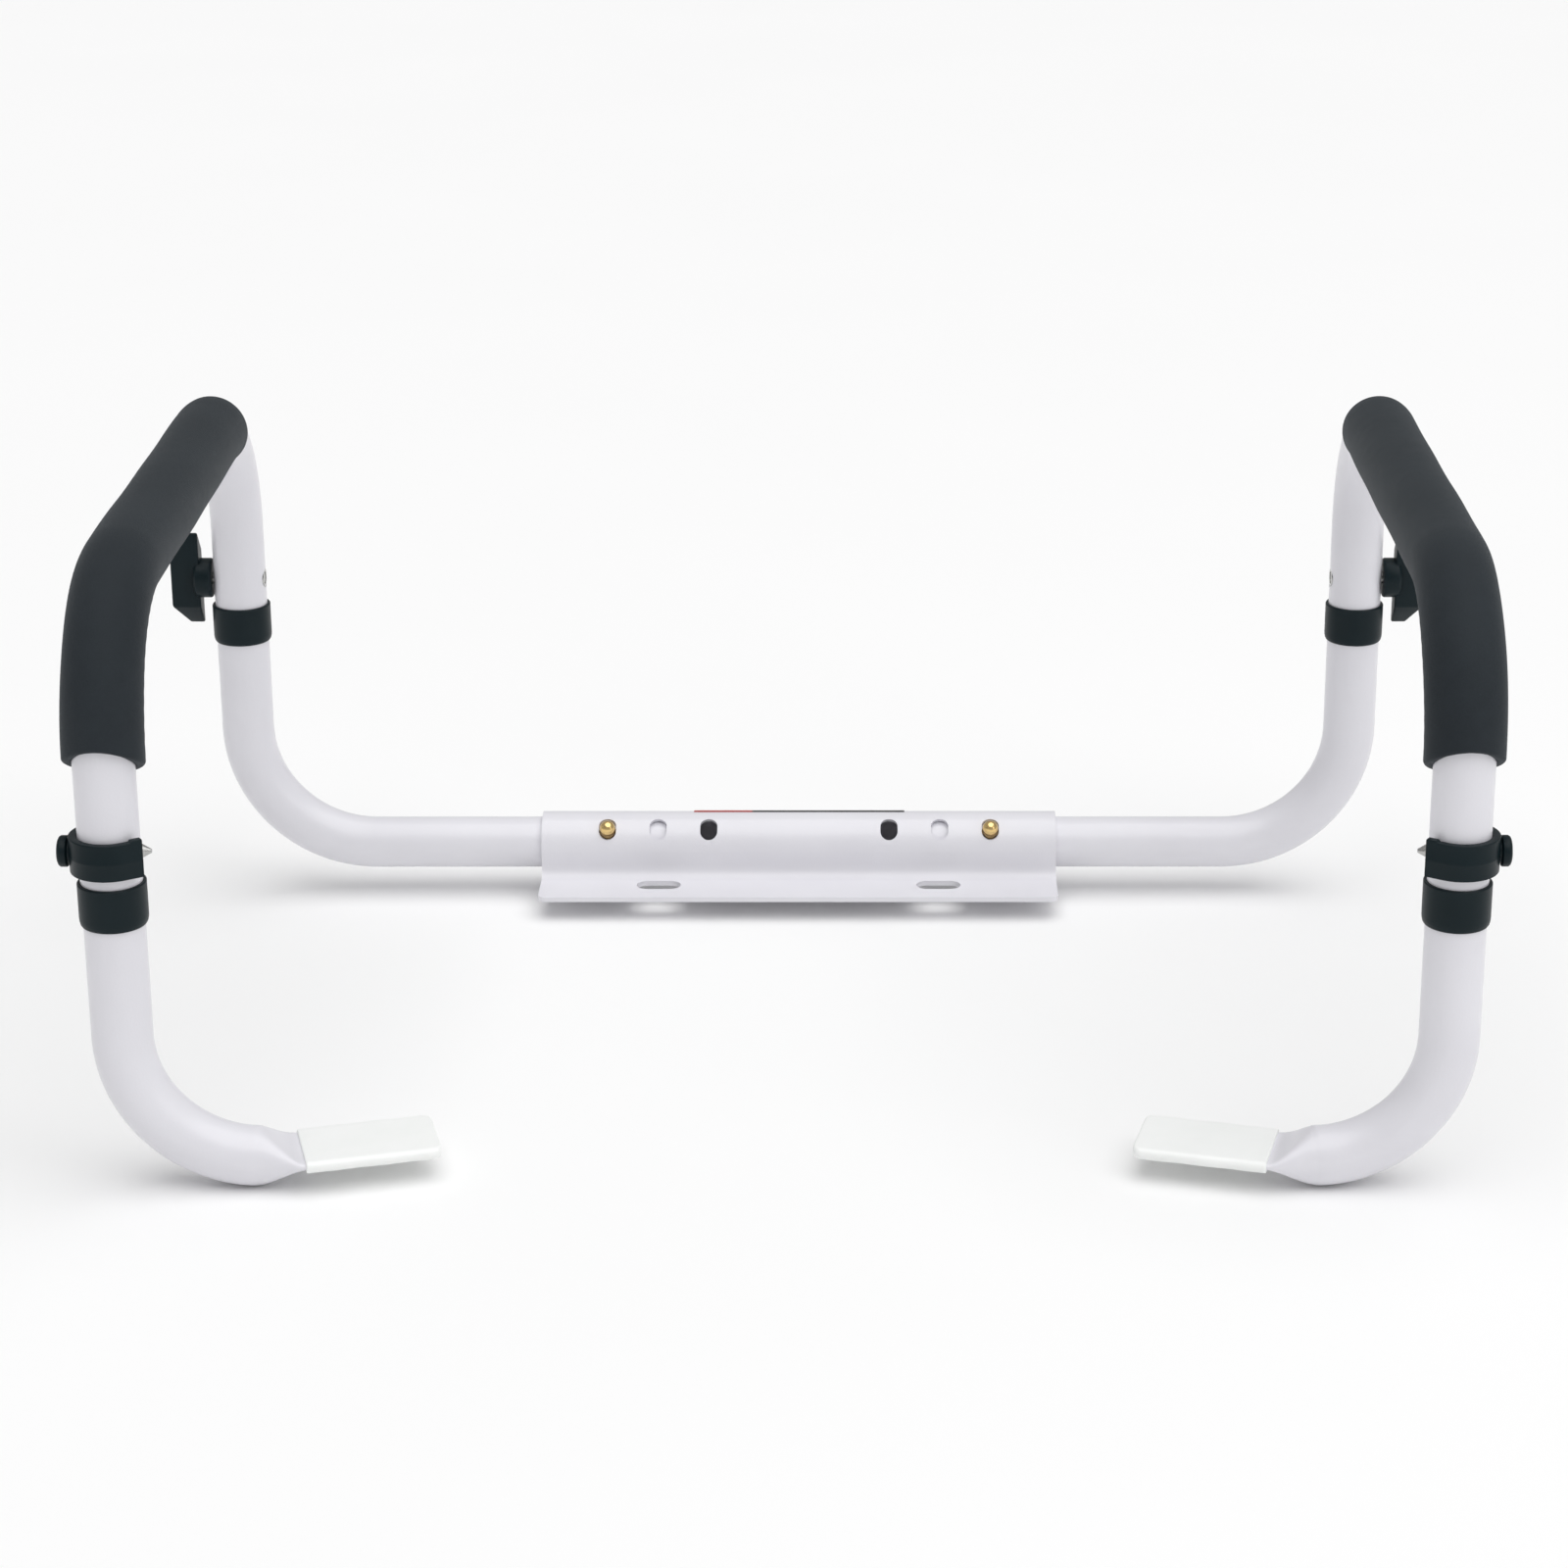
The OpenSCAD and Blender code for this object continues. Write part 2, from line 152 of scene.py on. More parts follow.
def foam():
    m, nt, p = material("grip_foam_skin")
    v = coords(nt)
    big = noise(nt, v, 14, 4)
    mott = noise(nt, v, 120, 4, 0.6)
    cells = voronoi(nt, v, 2600)
    pores = noise(nt, v, 1500, 3, 0.6)
    nt.links.new(ramp(nt, add(nt, add(nt, big, 0.6, "MULTIPLY"), add(nt, mott, 0.4, "MULTIPLY")),
                      [(0.35, (0.0165, 0.0215, 0.0262)), (0.65, (0.0225, 0.0285, 0.034))]),
                 p.inputs["Base Color"])
    nt.links.new(to_range(nt, mott, 0.62, 0.80), p.inputs["Roughness"])
    p.inputs["Specular IOR Level"].default_value = 0.18
    p.inputs["Sheen Weight"].default_value = 0.09
    p.inputs["Sheen Roughness"].default_value = 0.45
    p.inputs["Sheen Tint"].default_value = (0.62, 0.66, 0.70, 1)
    skin = add(nt, pores, add(nt, mott, 0.8, "MULTIPLY"))
    bump(nt, p, add(nt, add(nt, cells, 0.6, "MULTIPLY"), skin), 0.00018, 0.55)
    return m


def dark_plastic():
    m, nt, p = material("dark_moulded_plastic")
    v = coords(nt)
    big = noise(nt, v, 45, 3)
    fine = noise(nt, v, 1700, 2, 0.6)
    nt.links.new(ramp(nt, big, [(0.3, (0.0035, 0.0105, 0.0135)), (0.7, (0.0055, 0.0135, 0.0170))]),
                 p.inputs["Base Color"])
    nt.links.new(to_range(nt, add(nt, fine, big, "MULTIPLY"), 0.36, 0.52), p.inputs["Roughness"])
    p.inputs["Specular IOR Level"].default_value = 0.17
    bump(nt, p, fine, 0.00006, 0.6)
    return m


def metal(name, color, rough, scale, aniso=0.0, stretch=(1, 1, 1)):
    m, nt, p = material(name)
    v = coords(nt, stretch)
    fine = noise(nt, v, scale, 4, 0.6)
    darker = tuple(c * 0.86 for c in color)
    nt.links.new(ramp(nt, fine, [(0.3, darker), (0.75, color)]), p.inputs["Base Color"])
    nt.links.new(to_range(nt, fine, rough * 0.75, rough * 1.3), p.inputs["Roughness"])
    p.inputs["Metallic"].default_value = 1.0
    p.inputs["Anisotropic"].default_value = aniso
    bump(nt, p, fine, 0.00003, 0.5)
    return m


def vinyl():
    m, nt, p = material("white_soft_vinyl")
    v = coords(nt)
    big = noise(nt, v, 60, 3)
    fine = noise(nt, v, 700, 3, 0.5)
    nt.links.new(ramp(nt, big, [(0.3, (0.915, 0.93, 0.915)), (0.7, (0.945, 0.955, 0.945))]),
                 p.inputs["Base Color"])
    nt.links.new(to_range(nt, fine, 0.34, 0.5), p.inputs["Roughness"])
    p.inputs["Coat Weight"].default_value = 0.12
    p.inputs["Coat Roughness"].default_value = 0.3
    bump(nt, p, add(nt, fine, add(nt, big, 1.5, "MULTIPLY")), 0.00012, 0.5)
    return m


def label_film():
    """Blank film: a red part at its left end, the rest black."""
    red, black, split = (0.42, 0.035, 0.03), (0.02, 0.02, 0.022), 0.274
    m, nt, p = material("blank_label_film")
    tc = nt.nodes.new("ShaderNodeTexCoord")
    sx = nt.nodes.new("ShaderNodeSeparateXYZ")
    nt.links.new(tc.outputs["Object"], sx.inputs[0])
    lo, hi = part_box("bracket_label")
    n = nt.nodes.new("ShaderNodeMapRange")
    n.inputs["From Min"].default_value = lo[0]
    n.inputs["From Max"].default_value = hi[0]
    nt.links.new(sx.outputs[0], n.inputs["Value"])
    stops = [(0.0, red), (split, red), (split + 0.006, black), (1.0, black)]
    nt.links.new(ramp(nt, n.outputs["Result"], stops), p.inputs["Base Color"])
    v = coords(nt)
    nt.links.new(to_range(nt, noise(nt, v, 400, 2), 0.3, 0.42), p.inputs["Roughness"])
    return m


WHITE, FOAM, DARK, VINYL, LABEL = powder_coat(), foam(), dark_plastic(), vinyl(), label_film()
BRASS = metal("polished_brass", (0.86, 0.62, 0.27), 0.2, 500)
ZINC = metal("zinc_plated_steel", (0.50, 0.50, 0.49), 0.26, 350, 0.2)
SPRING = metal("spring_steel_strip", (0.48, 0.49, 0.51), 0.34, 300, 0.4, (1, 12, 12))

by_node = {"mounting_bracket": WHITE, "bracket_label": LABEL}
for side, _ in SIDES:
    for n in ("rear_arm_tube", "handle_tube", "front_foot_tube"):
        by_node[f"{side}_{n}"] = WHITE
    for n in ("rear_collar", "front_collar", "knob", "lock_clip"):
        by_node[f"{side}_{n}"] = DARK
    for n in ("bolt_insert", "knob_bolt", "lock_pin"):
        by_node[f"{side}_{n}"] = ZINC
    by_node[f"{side}_width_button"] = BRASS
    by_node[f"{side}_button_spring"] = SPRING
    by_node[f"{side}_foam_grip"] = FOAM
    by_node[f"{side}_blade_sleeve"] = VINYL
for name, mat in by_node.items():
    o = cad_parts[name]
    o.data.materials.clear()
    o.data.materials.append(mat)


# ---------------------------------------------------------------- mesh helpers
def new_object(name, verts, faces, mat, smooth=True):
    me = bpy.data.meshes.new(name)
    me.from_pydata([tuple(v) for v in verts], [], [tuple(f) for f in faces])
    me.validate()
    me.update()
    if smooth:
        me.polygons.foreach_set("use_smooth", [True] * len(me.polygons))
    me.materials.append(mat)
    o = bpy.data.objects.new(name, me)
    bpy.context.scene.collection.objects.link(o)
    return o


def grid_faces(n, m, close_n=True):
    """Quads over n rings of m vertices; the last ring joins the first if asked."""
    out = []
    for i in range(n if close_n else n - 1):
        for j in range(m):
            a, b = i * m + j, i * m + (j + 1) % m
            c, d = ((i + 1) % n) * m + (j + 1) % m, ((i + 1) % n) * m + j
            out.append((a, b, c, d))
    return out


def outward(o):
    """Turns the faces outwards."""
    bm = bmesh.new()
    bm.from_mesh(o.data)
    bmesh.ops.recalc_face_normals(bm, faces=bm.faces)
    bm.to_mesh(o.data)
    bm.free()
    return o


def bevelled(o, width, segments=3, angle=35):
    """Rounds the edges that are sharper than the angle, applied to the mesh, and shades it smooth."""
    b = o.modifiers.new("round", "BEVEL")
    b.width = width
    b.segments = segments
    b.limit_method = "ANGLE"
    b.angle_limit = math.radians(angle)
    b.harden_normals = False
    dg = bpy.context.evaluated_depsgraph_get()
    me = bpy.data.meshes.new_from_object(o.evaluated_get(dg))
    o.modifiers.clear()
    o.data = me
    me.polygons.foreach_set("use_smooth", [True] * len(me.polygons))
    return o


def centre(node):
    lo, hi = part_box(node)
    return [(a + b) / 2 for a, b in zip(lo, hi)]


LEG_X = abs(centre("right_front_collar")[0])   # the legs' axes, from the collars round them
FRONT_Y = centre("right_front_collar")[1]
REAR_Y = centre("right_rear_collar")[1]
R = 12.7 * MM            # outside radius of the tubes
TOP_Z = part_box("right_handle_tube")[1][2] - R
ARCH_R = 64 * MM         # radius of the handle's two bends
FOAM_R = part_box("right_foam_grip")[1][0] - LEG_X
FOAM_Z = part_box("right_foam_grip")[0][2]   # mean height of the foam's lower end
FOAM_ARC = math.radians(12)                # how far the foam reaches into the rear bend
FOAM_EDGE = 2.1 * MM                       # rounding of its ends
FOAM_SLANT = 8.5 * MM                      # its lower end is cut slanting, by this much up and down
LEAD = 30 * MM                             # length of the curve before the foam starts


def clamp(x):
    return max(0.0, min(1.0, x))


def smoothstep(x):
    x = clamp(x)
    return x * x * (3 - 2 * x)


# ---------------------------------------------------------------- foam grips
def handle_curve():
    """Points, tangents and lengths along the handle's axis, from low on the front leg to the rear leg."""
    pts = []
    h0 = TOP_Z - ARCH_R
    for z in np.linspace(FOAM_Z - LEAD, h0, 60)[:-1]:
        pts.append((FRONT_Y, z))
    for a in np.linspace(math.pi, math.pi / 2, 90)[:-1]:
        pts.append((FRONT_Y + ARCH_R + ARCH_R * math.cos(a), h0 + ARCH_R * math.sin(a)))
    for y in np.linspace(FRONT_Y + ARCH_R, REAR_Y - ARCH_R, 160)[:-1]:
        pts.append((y, TOP_Z))
    for a in np.linspace(math.pi / 2, 0, 90):
        pts.append((REAR_Y - ARCH_R + ARCH_R * math.cos(a), h0 + ARCH_R * math.sin(a)))
    p = np.array(pts)
    d = np.gradient(p, axis=0)
    d /= np.linalg.norm(d, axis=1)[:, None]
    length = np.concatenate([[0], np.cumsum(np.linalg.norm(np.diff(p, axis=0), axis=1))])
    return p, d, length


CURVE = handle_curve()


def on_curve(t):
    """Point (y, z) and unit tangent at length t along the curve."""
    p, d, length = CURVE
    y, z = np.interp(t, length, p[:, 0]), np.interp(t, length, p[:, 1])
    ty, tz = np.interp(t, length, d[:, 0]), np.interp(t, length, d[:, 1])
    k = math.hypot(ty, tz)
    return y, z, ty / k, tz / k


def foam_grip(side, s):
    """Foam sleeve over the handle, slightly uneven, with fine folds on the inside of the front bend."""
    t0 = LEAD
    t_bend0 = TOP_Z - ARCH_R - FOAM_Z + LEAD
    t_bend1 = t_bend0 + ARCH_R * math.pi / 2
    t_rear = CURVE[2][-1] - ARCH_R * math.pi / 2
    t1 = t_rear + ARCH_R * FOAM_ARC
    n = 96
    ri = R + 0.00003
    e = FOAM_EDGE
    fade = 20 * MM   # length over which the folds fade in and out
    # (length along the curve, radius, 0 end face, 1 outer skin, 2 bore)
    steps = [(t0, ri, 0), (t0, R + 0.0008, 0)]
    for a in np.linspace(0, math.pi / 2, 7):
        steps.append((t0 + e * (1 - math.cos(a)), FOAM_R - e * (1 - math.sin(a)), 1))
    for t in np.linspace(t0 + e, t1 - e, 330)[1:-1]:
        steps.append((t, FOAM_R, 1))
    for a in np.linspace(math.pi / 2, 0, 7):
        steps.append((t1 - e * (1 - math.cos(a)), FOAM_R - e * (1 - math.sin(a)), 1))
    steps += [(t1, R + 0.0008, 0), (t1, ri, 0)]
    for t in np.linspace(t1, t0, 120)[1:-1]:
        steps.append((t, ri, 2))
    verts = []
    for t, r, kind in steps:
        for j in range(n):
            th = 2 * math.pi * j / n
            # cos(th) points to the outside of the bends, sin(th) along X
            c, q = math.cos(th), math.sin(th)
            w0 = max(0.0, 1 - (t - t0) / 0.045)
            w1 = max(0.0, 1 - (t1 - t) / 0.03)
            tt = t + FOAM_SLANT * c * w0 * w0 - 0.001 * c * w1 * w1
            rr = r
            if kind == 1:
                bend = clamp((tt - t_bend0 + 0.012) / fade) * clamp((t_bend1 + 0.012 - tt) / fade)
                folds = math.sin((tt - t_bend0) * 2 * math.pi / 0.0072 + 0.9 * math.sin(2.0 * th))
                rr += bend * 0.00022 * max(0.0, -c) * folds
                rr += -0.0003 * bend * max(0.0, c)
                rr += 0.00016 * math.sin(31 * tt + 2.1 * q + s)
                rr += 0.00011 * math.sin(83 * tt + 3.3 * c + 2 * s)
                rr = max(rr, ri + 0.0002)
            y, z, ty, tz = on_curve(tt)
            ny, nz = -tz, ty
            verts.append((s * LEG_X + rr * q, y + rr * c * ny, z + rr * c * nz))
    o = outward(new_object(f"{side}_foam_grip_skin", verts, grid_faces(len(steps), n), FOAM))
    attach(o, f"{side}_handle")
    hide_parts(f"{side}_foam_grip")


# ---------------------------------------------------------------- front feet
FOOT_BEND = 55 * MM
BLADE_W, BLADE_T, BLADE_L = 35 * MM, 2.6 * MM, 72 * MM
BLADE_CORNER = 3 * MM
FLAT_L = 17 * MM           # the tube is flat this far past the elbow
TURN = math.radians(15)    # turn of the blade in plan
EASE = 8 * MM              # the turn is eased over twice this length
SPIGOT_R = 11.1 * MM       # thinner upper end, inside the handle's leg
SLEEVE_T = 1.3 * MM
SLEEVE_START = 16.5 * MM


def stadium(w, h, n):
    """n points round a stadium 2w wide and 2h high: local (across, up)."""
    st = max(w - h, 0.0)
    per = 4 * st + 2 * math.pi * h
    out = []
    for j in range(n):
        u = (j / n) * per
        if u < st:
            out.append((u, h))
            continue
        u -= st
        if u < math.pi * h:
            a = math.pi / 2 - u / h
            out.append((st + h * math.cos(a), h * math.sin(a)))
            continue
        u -= math.pi * h
        if u < 2 * st:
            out.append((st - u, -h))
            continue
        u -= 2 * st
        if u < math.pi * h:
            a = -math.pi / 2 - u / h
            out.append((-st + h * math.cos(a), h * math.sin(a)))
            continue
        u -= math.pi * h
        out.append((-st + u, h))
    return out


FOOT_Z = (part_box("right_blade_sleeve")[0][2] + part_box("right_blade_sleeve")[1][2]) / 2
SPIGOT_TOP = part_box("right_front_foot_tube")[1][2]
COLLAR_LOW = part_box("right_front_collar")[0][2]


def foot_section(u):
    """Half width and half height of the foot's section, u metres past the elbow."""
    h = R + (BLADE_T / 2 - R) * smoothstep((u + 0.003) / (FLAT_L + 0.0025))
    w = R + (BLADE_W / 2 - R) * smoothstep((u + 0.002) / (FLAT_L + 0.002))
    return w, h


def foot_place(u):
    """Centre, across and inward directions of the foot, u metres past the elbow."""
    x0 = LEG_X - FOOT_BEND
    if u < 0:
        a = math.pi / 2 + u / FOOT_BEND
        x, z = x0 + FOOT_BEND * math.cos(a), FOOT_Z + FOOT_BEND * (1 - math.sin(a))
        up = (math.cos(a), 0, -math.sin(a))
    else:
        x, z, up = x0 - u * math.cos(TURN), FOOT_Z, (0, 0, -1)
    k = clamp((u + EASE) / (2 * EASE))
    y = FRONT_Y + math.sin(TURN) * (u if u > EASE else EASE * k * k)
    return (x, y, z), (math.sin(TURN * k) if u >= 0 else 0.0, 1.0, 0), up


def foot_points(u, w, h, n, s):
    """One ring of n points round the foot's section."""
    c, a, up = foot_place(u)
    k = math.hypot(a[0], a[1])
    return [(s * (c[0] + a[0] / k * p + up[0] * q), c[1] + a[1] / k * p + up[1] * q, c[2] + up[2] * q)
            for p, q in stadium(w, h, n)]


def loft(name, rings, mat):
    """Skin over rings of equal length, closed at both ends."""
    n = len(rings[0])
    verts = [v for r in rings for v in r]
    faces = grid_faces(len(rings), n, close_n=False)
    faces += [tuple(range(n)), tuple(range(len(verts) - n, len(verts)))[::-1]]
    return outward(new_object(name, verts, faces, mat))


def foot_tube(side, s):
    """Thinner upper end, upright tube, elbow, pressed part and blade in one skin."""
    n = 72
    rings = []
    z1 = COLLAR_LOW + 0.0012
    zb = FOOT_Z + FOOT_BEND
    upright = [(SPIGOT_TOP, SPIGOT_R), (z1 + 0.0031, SPIGOT_R), (z1 + 0.003, SPIGOT_R + 0.00002),
               (z1 + 0.0002, R - 0.00015), (z1 - 0.0004, R)]
    upright += [(z, R) for z in np.linspace(z1 - 0.002, zb, 12)[:-1]]
    for z, r in upright:
        rings.append([(s * (LEG_X + q), FRONT_Y + p, z) for p, q in stadium(r, r, n)])
    for u in np.linspace(-FOOT_BEND * math.pi / 2, -0.003, 44)[:-1]:
        rings.append(foot_points(u, *foot_section(u), n, s))
    for u in np.linspace(-0.003, FLAT_L + 0.004, 36):
        rings.append(foot_points(u, *foot_section(u), n, s))
    w, h, rc = BLADE_W / 2, BLADE_T / 2, BLADE_CORNER
    for u in np.linspace(FLAT_L + 0.008, BLADE_L - rc, 8):
        rings.append(foot_points(u, w, h, n, s))
    for a in np.linspace(0, math.pi / 2, 6)[1:]:
        rings.append(foot_points(BLADE_L - rc + rc * math.sin(a), w - rc * (1 - math.cos(a)), h, n, s))
    o = loft(f"{side}_foot_tube_pressed", rings, WHITE)
    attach(o, f"{side}_foot")
    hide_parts(f"{side}_front_foot_tube")


def blade_sleeve(side, s):
    """Soft sleeve pulled over the blade: it follows the pressed tube, and its tip is closed and rounded."""
    n = 96
    t, u0 = SLEEVE_T, SLEEVE_START
    rings = []
    for k, off in ((0, 0.00004), (0, t * 0.72), (0.0003, t * 0.94), (0.0008, t)):
        w, h = foot_section(u0 + k)
        rings.append(foot_points(u0 + k, w + off, h + off, n, s))
    for u in np.linspace(u0 + 0.0012, FLAT_L + 0.006, 22):
        w, h = foot_section(u)
        rings.append(foot_points(u, w + t, h + t, n, s))
    end, rc = BLADE_L + 0.0014, BLADE_CORNER + 0.0012
    w, h = BLADE_W / 2 + t, BLADE_T / 2 + t
    for u in np.linspace(FLAT_L + 0.008, end - rc, 26):
        sag = 0.00012 * math.sin(u * 310 + s)
        rings.append(foot_points(u, w + sag, h + 0.4 * sag, n, s))
    for a in np.linspace(0, math.pi / 2, 9)[1:-1]:
        hh = h - 0.0009 * max(0.0, (a - 0.9) / 0.67) ** 2
        rings.append(foot_points(end - rc + rc * math.sin(a), w - rc * (1 - math.cos(a)), hh, n, s))
    rings.append(foot_points(end, w - rc - 0.0004, h - 0.0012, n, s))
    o = loft(f"{side}_blade_sleeve_skin", rings, VINYL)
    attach(o, f"{side}_foot")
    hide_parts(f"{side}_blade_sleeve")


# ---------------------------------------------------------------- lock clips
def lock_clip(side, s):
    """Springy band with one straight arm at the front, which ends in a raised lip, and a round head."""
    lo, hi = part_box(f"{side}_lock_clip")
    h = 15.5 * MM
    zc = lo[2] + h / 2
    ri, ro = R + 0.00015, R + 0.00365
    half = (ro - ri) / 2
    arc, arm, lip, lip_l = math.radians(122), 8.2 * MM, 0.8 * MM, 5.2 * MM

    def section(lift, inset):
        """(radius, height) round the band, with a fine parting line on the outside."""
        rc = 0.00055
        pts = []
        for cx, cz, a0 in ((ro - rc, h / 2 - rc + lift, 0), (ri + rc, h / 2 - rc + lift, 90),
                           (ri + rc, -h / 2 + rc, 180), (ro - rc, -h / 2 + rc, 270)):
            for k in range(6):
                a = math.radians(a0 + 18 * k)
                pts.append((cx + rc * math.cos(a), cz + rc * math.sin(a)))
        pts += [(ro, -0.0007), (ro + 0.00013, -0.0004), (ro, -0.0001)]
        mid = (ri + ro) / 2
        return [(mid + (r - mid) * (1 - inset / half), z * (1 - inset / (h / 2))) for r, z in pts]

    # (angle, offset along the tangent, distance along the arm)
    path = [(-arc, -arm * k / 22, arm * k / 22) for k in range(22, -1, -1)]
    path += [(a, 0.0, 0.0) for a in np.linspace(-arc, arc, 91)[1:]]
    rings = []
    last = len(path) - 1
    for i, (a, t, d) in enumerate(path):
        lift = lip * smoothstep((d - (arm - lip_l)) / (1.0 * MM))
        steps = [(t, 0.0)]
        if i in (0, last):
            e = 1 if i else -1
            steps = [(t - e * 0.0004, 0.0), (t - e * 0.00012, 0.00012), (t, 0.0004)]
            if i == 0:
                steps = steps[::-1]
        for tt, inset in steps:
            rings.append([(s * (LEG_X + r * math.cos(a) - tt * math.sin(a)),
                           FRONT_Y + r * math.sin(a) + tt * math.cos(a), zc + z)
                          for r, z in section(lift, inset)])
    band = loft(f"{side}_clip_band", rings, DARK)
    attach(band, f"{side}_clip")
    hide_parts(f"{side}_lock_clip")
    x0 = ro - 0.0012
    x_end = max(abs(lo[0]), abs(hi[0])) - LEG_X
    prof = [(x0, 0.0), (x0, 0.0049), (x0 + 0.0015, 0.0049), (x0 + 0.0017, 0.0063), (x0 + 0.0021, 0.0065),
            (x_end - 0.0011, 0.0065), (x_end - 0.0004, 0.0060), (x_end, 0.0052), (x_end, 0.0041),
            (x_end - 0.0003, 0.0038), (x_end - 0.0003, 0.0)]
    head = revolve_x(f"{side}_clip_head", prof, LEG_X, FRONT_Y, zc, s, DARK, 64)
    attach(head, f"{side}_clip")


def revolve_x(name, prof, x, y, z, s, mat, n=64):
    """Turned shape round an axis along X: prof is (distance outwards, radius) from one end to the other."""
    verts, rings = [], []
    for d, r in prof:
        if r == 0:
            rings.append([len(verts)])
            verts.append((s * (x + d), y, z))
        else:
            rings.append(list(range(len(verts), len(verts) + n)))
            for j in range(n):
                a = 2 * math.pi * j / n
                verts.append((s * (x + d), y + r * math.cos(a), z + r * math.sin(a)))
    faces = []
    for a, b in zip(rings[:-1], rings[1:]):
        for j in range(n):
            k = (j + 1) % n
            if len(a) == 1 and len(b) == 1:
                continue
            if len(a) == 1:
                faces.append((a[0], b[j], b[k]))
            elif len(b) == 1:
                faces.append((a[j], b[0], a[k]))
            else:
                faces.append((a[j], b[j], b[k], a[k]))
    o = outward(new_object(name, verts, faces, mat))
    return bevelled(o, 0.00025, 2, 30)


# ---------------------------------------------------------------- knobs
def knob(side, s):
    """Round hub, and a body with two wings, each sloped on one side of its end."""
    lo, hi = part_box(f"{side}_knob")
    zc = (lo[2] + hi[2]) / 2
    near = min(abs(lo[0]), abs(hi[0])) - LEG_X
    far = max(abs(lo[0]), abs(hi[0])) - LEG_X
    hub_r = 9.75 * MM
    prof = [(near + 0.004, 0.0), (near + 0.004, 0.0031), (near, 0.0031), (near, hub_r - 0.0009),
            (near + 0.0005, hub_r - 0.0002), (near + 0.001, hub_r), (near + 0.0074, hub_r),
            (near + 0.0086, hub_r - 0.0012), (near + 0.0086, 0.0)]
    hub = revolve_x(f"{side}_knob_hub", prof, LEG_X, REAR_Y, zc, s, DARK, 72)
    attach(hub, f"{side}_knob")
    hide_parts(f"{side}_knob")
    x0, x2 = near + 0.006, far
    x1 = (x0 + x2) / 2
    # reach of a wing, where its slope starts, half its thickness, width of the slope's flat end
    rw, slope, half, flat = hi[2] - zc, 13.5 * MM, 5.5 * MM, 2 * MM
    pts = []
    for q in (1, -1):
        pts += [(x0, -half * q, -slope * q), (x2, -half * q, -slope * q), (x2, half * q, -slope * q),
                (x0, (half - flat) * q, -rw * q), (x1, (half - flat) * q, -rw * q),
                (x0, half * q, -rw * q), (x1, half * q, -rw * q),
                (x0, half * q, slope * q), (x2, half * q, slope * q)]
    bm = bmesh.new()
    vs = [bm.verts.new((s * (LEG_X + x), REAR_Y + y, zc + z)) for x, y, z in pts]
    bmesh.ops.convex_hull(bm, input=vs)
    bmesh.ops.delete(bm, geom=[v for v in bm.verts if not v.link_faces], context="VERTS")
    bmesh.ops.dissolve_limit(bm, angle_limit=0.02, verts=bm.verts, edges=bm.edges)
    me = bpy.data.meshes.new(f"{side}_knob_wings")
    bm.to_mesh(me)
    bm.free()
    me.materials.append(DARK)
    w = bpy.data.objects.new(me.name, me)
    bpy.context.scene.collection.objects.link(w)
    bevelled(outward(w), 0.0009, 4, 20)
    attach(w, f"{side}_knob")


for side, s in SIDES:
    foam_grip(side, s)
    foot_tube(side, s)
    blade_sleeve(side, s)
    lock_clip(side, s)
    knob(side, s)

# ---------------------------------------------------------------- floor, light, camera
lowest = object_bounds()[0][2]
floor_material, nt, p = material("pale_floor")
nt.links.new(ramp(nt, noise(nt, coords(nt), 3, 2),
                  [(0.3, (0.955, 0.955, 0.955)), (0.7, (0.962, 0.962, 0.962))]), p.inputs["Base Color"])
p.inputs["Roughness"].default_value = 0.9
p.inputs["Specular IOR Level"].default_value = 0.1
reach, floor_z = 60, lowest - 0.0002
corners = [(x * reach, y * reach, floor_z) for x, y in ((-1, -1), (1, -1), (1, 1), (-1, 1))]
new_object("floor", corners, [(0, 1, 2, 3)], floor_material, smooth=False)


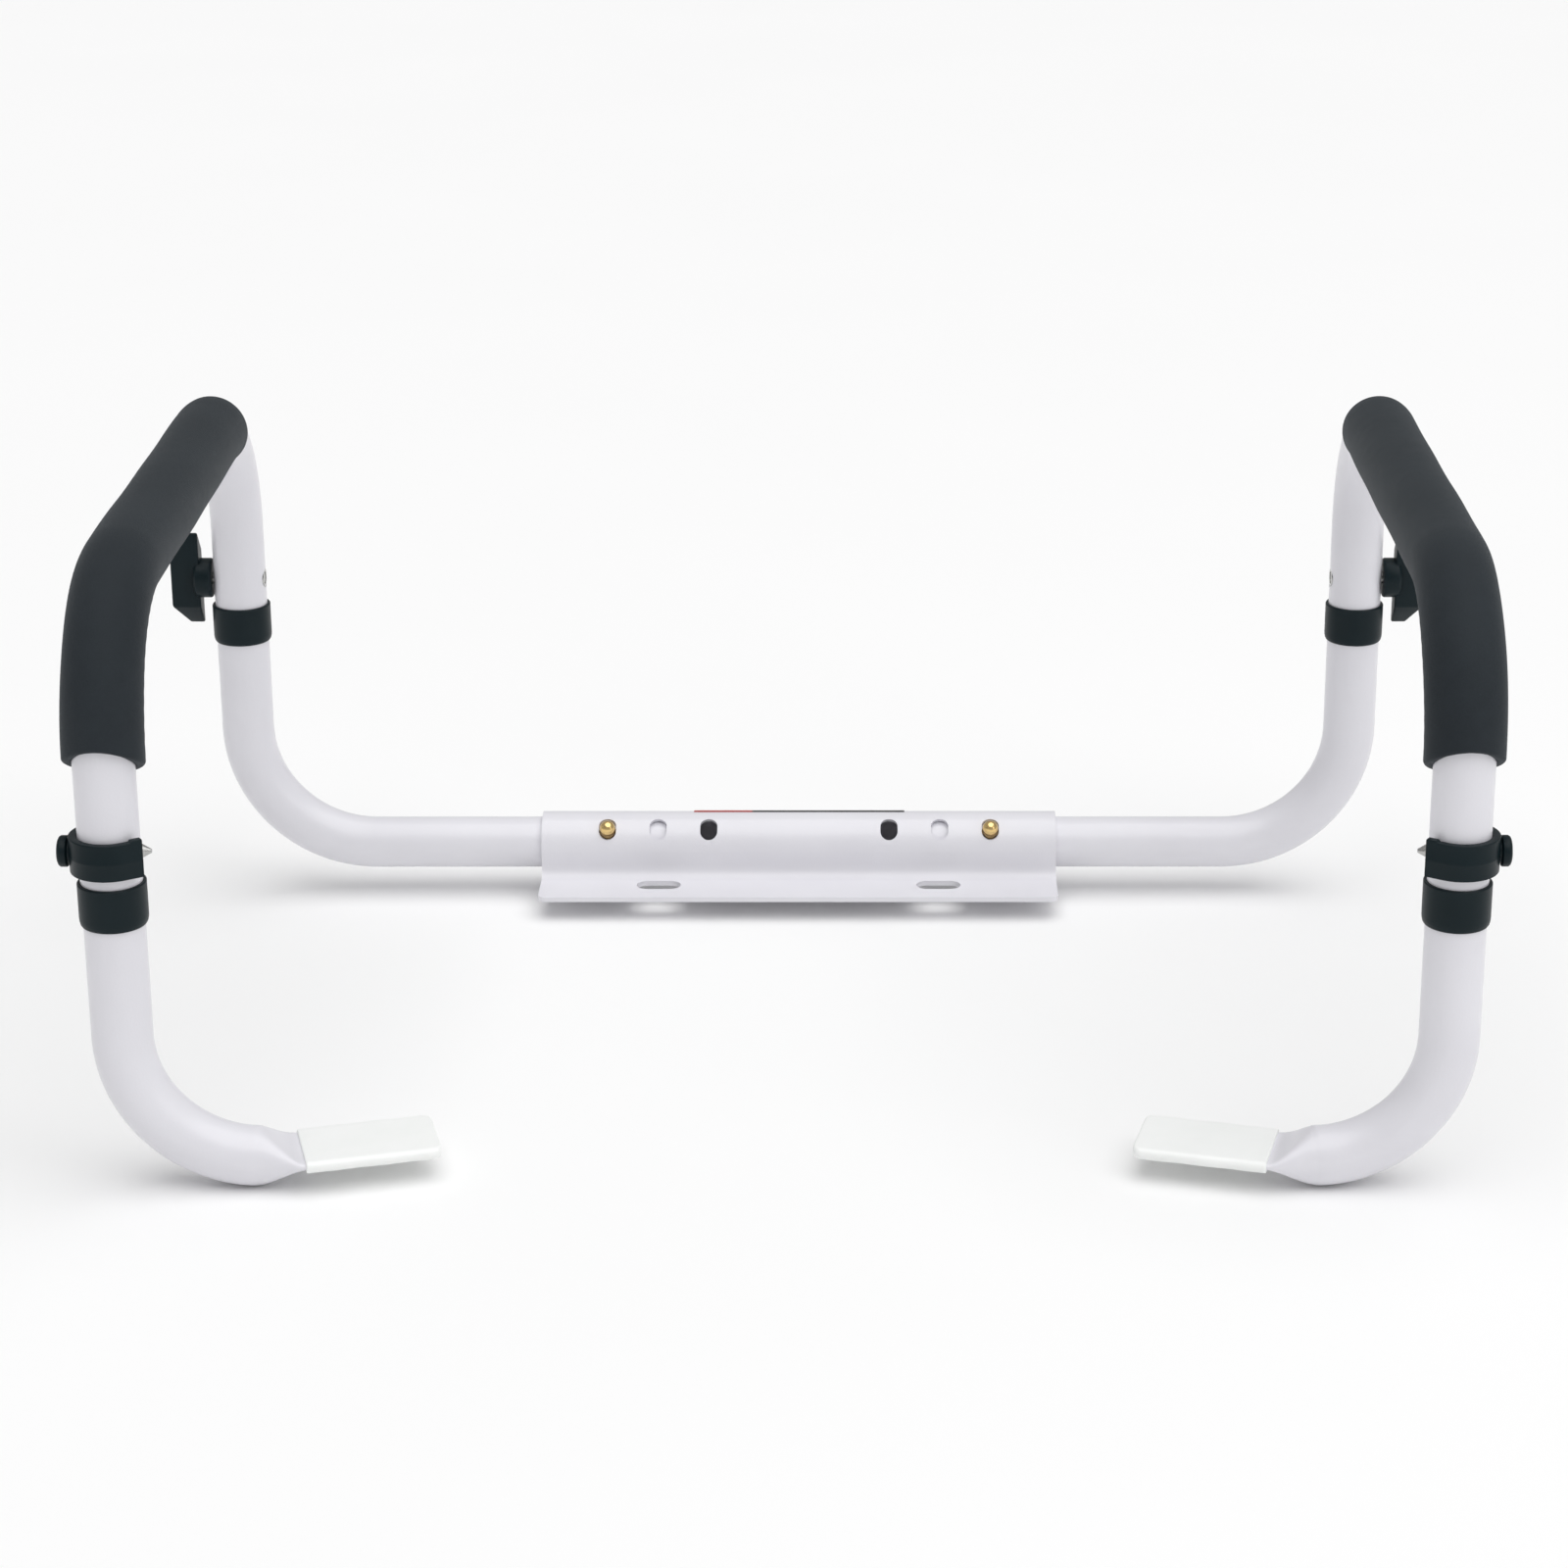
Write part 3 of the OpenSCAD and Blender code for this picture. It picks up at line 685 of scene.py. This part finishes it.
def backdrop(radius, top, n=96):
    """Pale wall all round the floor, far away, which only closes the horizon and lights nothing."""
    turns = [2 * math.pi * k / n for k in range(n)]
    ring = [(radius * math.cos(a), radius * math.sin(a)) for a in turns]
    verts = [(x, y, z) for z in (lowest, top) for x, y in ring]
    m = bpy.data.materials.new("pale_backdrop")
    m.use_nodes = True
    glow = m.node_tree.nodes.new("ShaderNodeEmission")
    glow.inputs["Color"].default_value = (0.95, 0.95, 0.95, 1)
    m.node_tree.links.new(glow.outputs[0], m.node_tree.nodes["Material Output"].inputs["Surface"])
    o = new_object("backdrop", verts, grid_faces(2, n, close_n=False), m)
    o.visible_diffuse = o.visible_glossy = o.visible_transmission = o.visible_shadow = False


backdrop(20.0, 16.0)

bpy.context.scene.view_settings.view_transform = "Standard"
world = bpy.data.worlds.new("studio")
bpy.context.scene.world = world
world.use_nodes = True
bg = world.node_tree.nodes["Background"]
bg.inputs["Color"].default_value = (1.0, 1.0, 1.0, 1)
bg.inputs["Strength"].default_value = 0.43


def light(name, kind, pos, look, power, size):
    """Soft light at pos, turned to look; size is (width, height), or (angle, unused) for a sun."""
    l = bpy.data.lights.new(name, kind)
    l.energy = power
    if kind == "AREA":
        l.shape = "RECTANGLE"
        l.size, l.size_y = size
    else:
        l.angle = size[0]
    o = bpy.data.objects.new(name, l)
    bpy.context.scene.collection.objects.link(o)
    o.location = pos
    o.rotation_euler = (Vector(look) - Vector(pos)).to_track_quat("-Z", "Y").to_euler()


light("overhead", "SUN", (0.5, -0.6, 3.0), (0, 0, 0), 1.85, (1.25, 0))
light("key_right", "AREA", (1.9, -1.5, 1.1), (0, -0.15, 0.12), 5, (1.2, 1.6))

cam_data = bpy.data.cameras.new("camera")
cam = bpy.data.objects.new("camera", cam_data)
bpy.context.scene.collection.objects.link(cam)
cam_data.sensor_width = 36.0
cam_data.lens = 84.84
cam_data.shift_x = -0.0494
cam_data.shift_y = -0.0304
cam.location = (0.0307, REAR_Y - 1.7484, 0.6727)
pitch, yaw = 0.3311, 0.0004
cam.rotation_euler = (math.pi / 2 - pitch, 0, -yaw)
cam_data.clip_end = 200
bpy.context.scene.camera = cam
